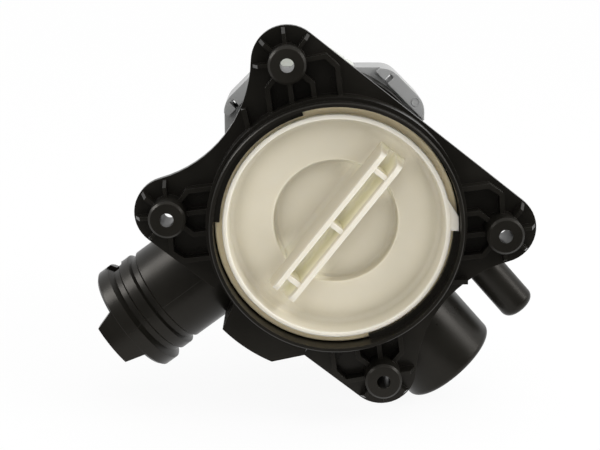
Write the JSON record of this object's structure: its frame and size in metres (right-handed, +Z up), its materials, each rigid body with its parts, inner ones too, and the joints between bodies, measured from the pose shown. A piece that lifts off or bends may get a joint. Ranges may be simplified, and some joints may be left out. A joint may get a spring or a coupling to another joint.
{
  "type": "washer drain pump",
  "caption": "Drain pump with a four-eared flange, twist-out filter cap in a round collar, hose spigots, latch outlet socket and rear motor.",
  "frame": {"origin": "on the filter axis, in the plane of the four boss faces", "axes": "+X to the right and +Z up as seen from the service side, +Y from the filter cap towards the motor"},
  "size_m": [0.1633, 0.1195, 0.1421],
  "materials": {
    "black_plastic": "moulded, fine satin grain",
    "cream_plastic": "moulded, smooth satin",
    "tan_rubber": "smooth",
    "black_rubber": "smooth",
    "grey_plastic": "moulded, satin",
    "dark_plastic": "moulded",
    "pale_plastic": "natural nylon",
    "steel": "zinc plated",
    "lamination": "stacked sheet edges",
    "copper": "enamelled wire",
    "ferrite": "sintered",
    "carbon": "sintered carbon",
    "brass": "tinned brass"
  },
  "bodies": {
    "housing": {"pump_housing": "black_plastic", "pump_cover": "grey_plastic", "cover_o_ring": "black_rubber", "cover_screws": "steel", "front_bearing": "carbon", "rear_bearing": "carbon", "front_bearing_mount": "black_rubber", "rear_bearing_mount": "black_rubber", "shaft_seal": "black_rubber", "rotor_can": "dark_plastic", "stator_core": "lamination", "left_coil_bobbin": "pale_plastic", "right_coil_bobbin": "pale_plastic", "left_coil_winding": "copper", "right_coil_winding": "copper", "motor_housing": "grey_plastic", "motor_rear_cover": "grey_plastic", "motor_screws": "steel", "terminal_block": "pale_plastic", "terminal_blades": "brass", "valve_seat": "dark_plastic", "valve_pin": "steel", "outlet_seal": "black_rubber"},
    "filter": {"filter_cap": "cream_plastic", "filter_strainer": "cream_plastic", "cap_lip_seal": "tan_rubber", "cap_o_ring": "black_rubber"},
    "rotor": {"rotor_shaft": "steel", "rotor_magnet": "ferrite", "thrust_washers": "pale_plastic", "drive_dog": "pale_plastic"},
    "impeller_wheel": {"impeller": "dark_plastic"},
    "flap": {"valve_flap": "black_rubber"}
  },
  "joints": [
    {"name": "filter_turn", "type": "hinge", "parent": "housing", "child": "filter", "pos_m": [0, 0, 0], "axis": [0, -1, 0], "range_deg": [0, 90]},
    {"name": "rotor_spin", "type": "hinge", "parent": "housing", "child": "rotor", "pos_m": [-0.0031, 0, 0.0099], "axis": [0, 1, 0], "continuous": true},
    {"name": "impeller_play", "type": "hinge", "parent": "rotor", "child": "impeller_wheel", "pos_m": [-0.0031, 0, 0.0099], "axis": [0, 1, 0], "range_deg": [-130, 130]},
    {"name": "flap_swing", "type": "hinge", "parent": "housing", "child": "flap", "pos_m": [-0.06919, 0.04, -0.02354], "axis": [0, 1, 0], "range_deg": [0, 50], "stiffness_Nm_per_rad": 0.002, "springref_deg": -34.38}
  ]
}
